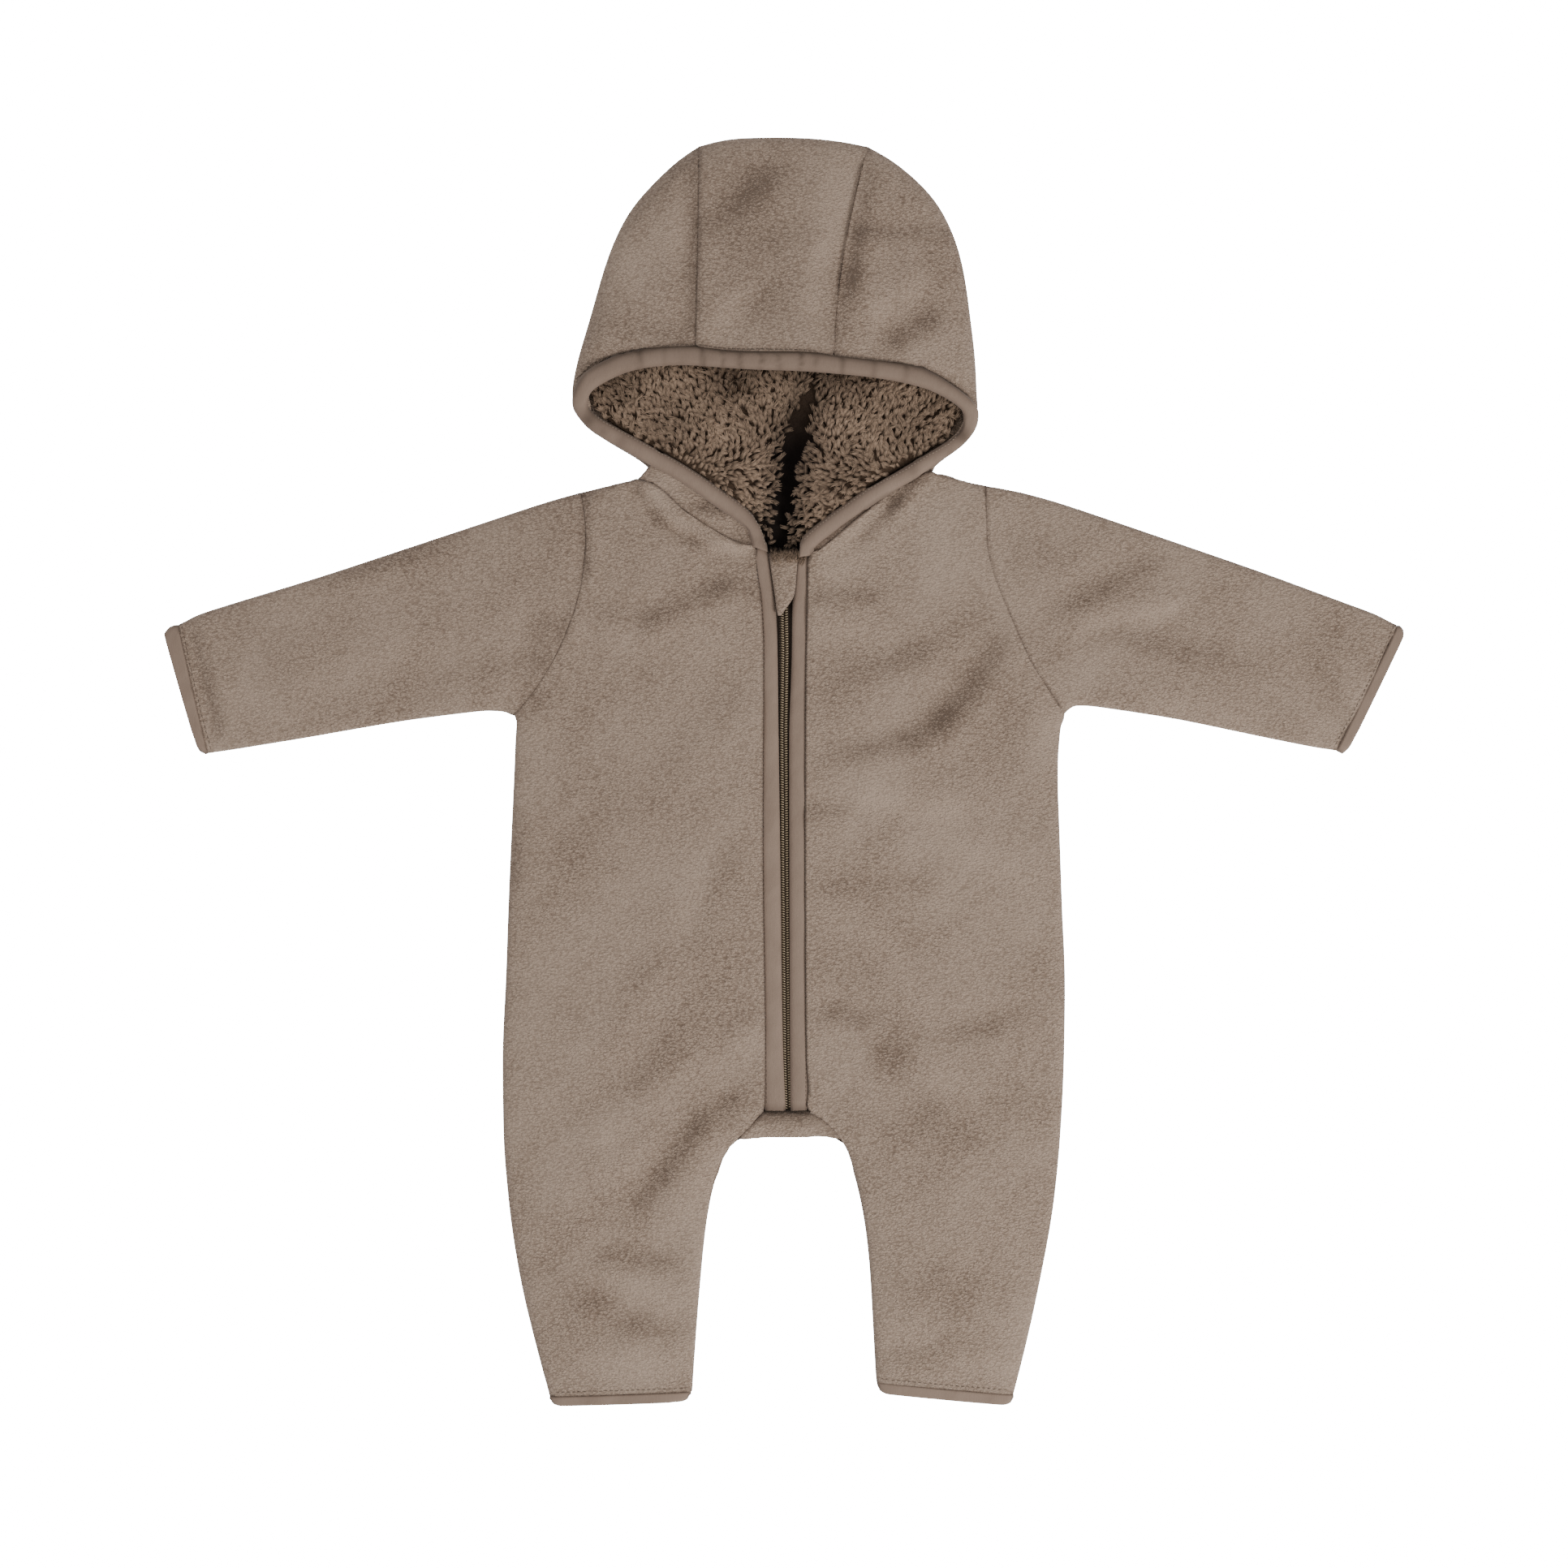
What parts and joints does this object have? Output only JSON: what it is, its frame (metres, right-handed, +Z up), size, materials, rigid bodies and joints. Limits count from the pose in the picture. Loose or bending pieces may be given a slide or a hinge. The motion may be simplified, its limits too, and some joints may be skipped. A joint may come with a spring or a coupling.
{
  "type": "baby fleece overall",
  "caption": "Hooded fleece overall for a baby, zipped and laid flat on its back, with bound cuffs, hems and face opening and a pile-lined hood.",
  "frame": {"origin": "middle of the overall on the surface that it lies on", "axes": "+X from the garment's sleeve on the viewer's left to the one on the right, +Y from the leg hems to the top of the hood, +Z up from the surface, out of the garment's front"},
  "size_m": [0.6732, 0.688, 0.0198],
  "materials": {
    "fleece": "matt pebbled fleece, taupe",
    "pile": "curly pile, taupe",
    "binding": "smooth knitted binding, taupe",
    "zip_tape": "dark brown woven zip tape",
    "zip_metal": "dull brass"
  },
  "bodies": {
    "root": {"back": "fleece", "front_left": "fleece", "front_right": "fleece", "sleeve_left": "fleece", "sleeve_right": "fleece", "hood_centre": "fleece", "hood_side_left": "fleece", "hood_side_right": "fleece", "hood_lining": "pile", "face_binding": "binding", "zip_strip_left": "binding", "zip_strip_right": "binding", "zip_tape": "zip_tape", "zip_slider": "zip_metal", "chin_flap": "fleece", "crotch_gusset": "fleece", "cuff_binding_left": "binding", "cuff_binding_right": "binding", "hem_binding_left": "binding", "hem_binding_right": "binding"}
  },
  "joints": []
}
